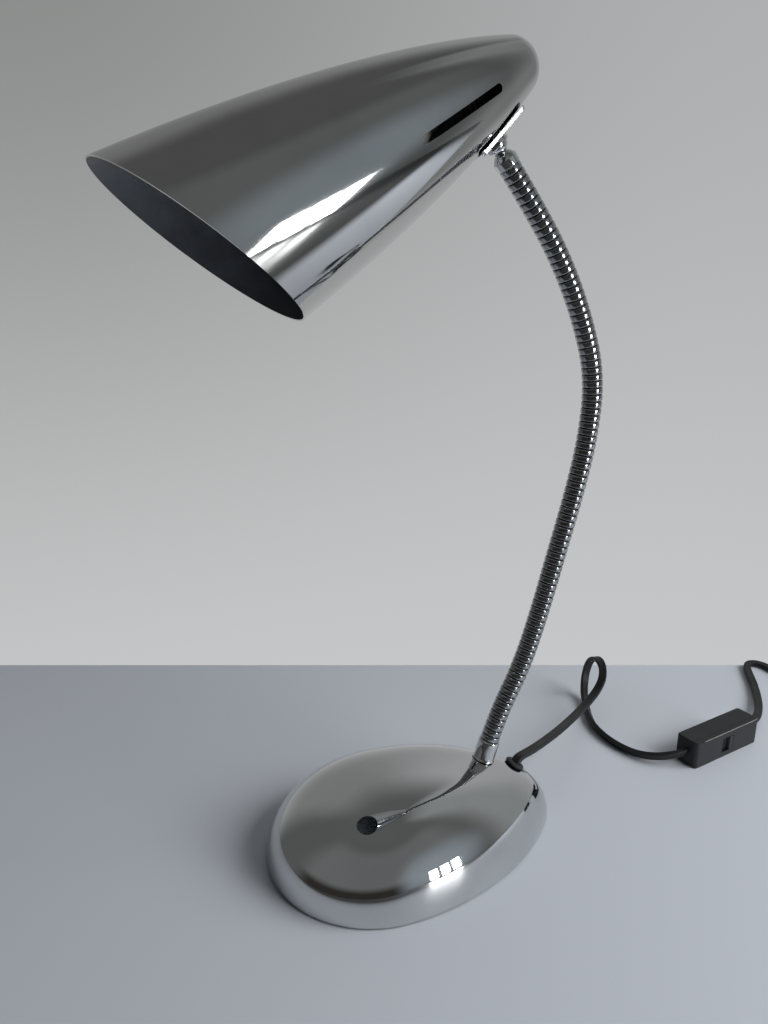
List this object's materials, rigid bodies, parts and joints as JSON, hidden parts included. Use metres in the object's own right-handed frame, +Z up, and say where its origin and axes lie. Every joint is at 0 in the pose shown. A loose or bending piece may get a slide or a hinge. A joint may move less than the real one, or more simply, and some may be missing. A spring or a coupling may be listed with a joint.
{
  "type": "desk lamp",
  "caption": "Desk lamp: pebble-shaped weighted base, ribbed bendable neck, bullet-shaped metal shade on a ball swivel, and a lead with rocker switch and plug.",
  "frame": {"origin": "centre of the base's underside, on the table", "axes": "+Z up; +X from the middle of the base towards its narrow end and the neck; XZ is the mirror plane of the base and the neck"},
  "size_m": [0.5755, 0.1757, 0.4245],
  "materials": {
    "chrome": "polished",
    "iron": "rough casting",
    "steel": "zinc plated",
    "rubber": "matte",
    "brass": "plain",
    "black_plastic": "fine satin",
    "cord": "satin flexible",
    "cord_cores": "satin flexible",
    "holder_plastic": "moulded gloss",
    "bulb": "clear",
    "pin_metal": "polished"
  },
  "bodies": {
    "stand": {"base_shell": "chrome", "base_weight": "iron", "bottom_plate": "steel", "base_pad": "rubber", "plate_screws": "steel", "neck_nipple": "steel", "neck_washer": "steel", "neck_nut": "brass", "lower_ferrule": "chrome", "neck_segment_01": "chrome", "cord_grommet": "black_plastic", "cord_stop": "black_plastic", "sheath_in_base": "cord", "base_cores": "cord_cores", "cord_base_to_switch": "cord", "switch_cover": "black_plastic", "switch_back": "black_plastic", "switch_screws": "steel", "cord_switch_to_coil": "cord", "cord_coil": "cord", "cord_tie": "black_plastic", "cord_coil_to_plug": "cord", "plug_body": "black_plastic", "plug_boot": "black_plastic", "plug_pins": "pin_metal"},
    "neck_2": {"neck_segment_02": "chrome"},
    "neck_3": {"neck_segment_03": "chrome"},
    "neck_4": {"neck_segment_04": "chrome"},
    "neck_5": {"neck_segment_05": "chrome"},
    "neck_6": {"neck_segment_06": "chrome"},
    "neck_7": {"neck_segment_07": "chrome"},
    "neck_8": {"neck_segment_08": "chrome"},
    "neck_9": {"neck_segment_09": "chrome"},
    "neck_10": {"neck_segment_10": "chrome", "upper_ferrule": "chrome"},
    "swivel": {"swivel_ball": "chrome"},
    "head": {"shade": "chrome", "joint_plate": "chrome", "ball_collar": "chrome", "holder_strip": "steel", "clamp_screws": "steel", "lampholder": "holder_plastic", "lampholder_skirt": "holder_plastic", "holder_nut": "brass", "bulb_cap": "brass", "bulb_glass": "bulb", "head_leads": "cord_cores"},
    "rocker": {"switch_rocker": "black_plastic"}
  },
  "joints": [
    {"name": "neck_lower_bend_1", "type": "hinge", "parent": "stand", "child": "neck_2", "pos_m": [0.05891, 0, 0.08868], "axis": [0, -1, 0], "range_deg": [-10, 14]},
    {"name": "neck_side_bend_2", "type": "hinge", "parent": "neck_2", "child": "neck_3", "pos_m": [0.07076, 0, 0.11983], "axis": [-0.9592, 0, 0.2828], "range_deg": [-16, 16]},
    {"name": "neck_lower_bend_3", "type": "hinge", "parent": "neck_3", "child": "neck_4", "pos_m": [0.07953, 0, 0.15202], "axis": [0, -1, 0], "range_deg": [-10, 14]},
    {"name": "neck_lower_bend_4", "type": "hinge", "parent": "neck_4", "child": "neck_5", "pos_m": [0.08776, 0, 0.18435], "axis": [0, -1, 0], "range_deg": [-10, 14]},
    {"name": "neck_side_bend_5", "type": "hinge", "parent": "neck_5", "child": "neck_6", "pos_m": [0.09528, 0, 0.21686], "axis": [-0.9798, 0, 0.1999], "range_deg": [-16, 16]},
    {"name": "neck_upper_bend_6", "type": "hinge", "parent": "neck_6", "child": "neck_7", "pos_m": [0.09933, 0, 0.24994], "axis": [0, -1, 0], "range_deg": [-16, 16]},
    {"name": "neck_upper_bend_7", "type": "hinge", "parent": "neck_7", "child": "neck_8", "pos_m": [0.09464, 0, 0.28278], "axis": [0, -1, 0], "range_deg": [-16, 16]},
    {"name": "neck_side_bend_8", "type": "hinge", "parent": "neck_8", "child": "neck_9", "pos_m": [0.08163, 0, 0.31348], "axis": [-0.8889, 0, -0.4582], "range_deg": [-16, 16]},
    {"name": "neck_upper_bend_9", "type": "hinge", "parent": "neck_9", "child": "neck_10", "pos_m": [0.06416, 0, 0.34186], "axis": [0, -1, 0], "range_deg": [-16, 16]},
    {"name": "swivel_turn", "type": "hinge", "parent": "neck_10", "child": "swivel", "pos_m": [0.03675, 0, 0.37737], "axis": [-0.6248, 0, 0.7808], "range_deg": [-170, 170]},
    {"name": "shade_tilt", "type": "hinge", "parent": "swivel", "child": "head", "pos_m": [0.03675, 0, 0.37737], "axis": [0, 1, 0], "range_deg": [-20, 38]},
    {"name": "rocker_press", "type": "hinge", "parent": "stand", "child": "rocker", "pos_m": [0.23256, 0.01155, 0.0095], "axis": [0, 0, 1], "range_deg": [-11, 0]}
  ],
  "couplings": [
    {"joint": "neck_lower_bend_3", "follows": "neck_lower_bend_1", "ratio": 1},
    {"joint": "neck_lower_bend_4", "follows": "neck_lower_bend_1", "ratio": 1},
    {"joint": "neck_side_bend_5", "follows": "neck_side_bend_2", "ratio": 1},
    {"joint": "neck_upper_bend_7", "follows": "neck_upper_bend_6", "ratio": 1},
    {"joint": "neck_side_bend_8", "follows": "neck_side_bend_2", "ratio": 1},
    {"joint": "neck_upper_bend_9", "follows": "neck_upper_bend_6", "ratio": 1}
  ]
}
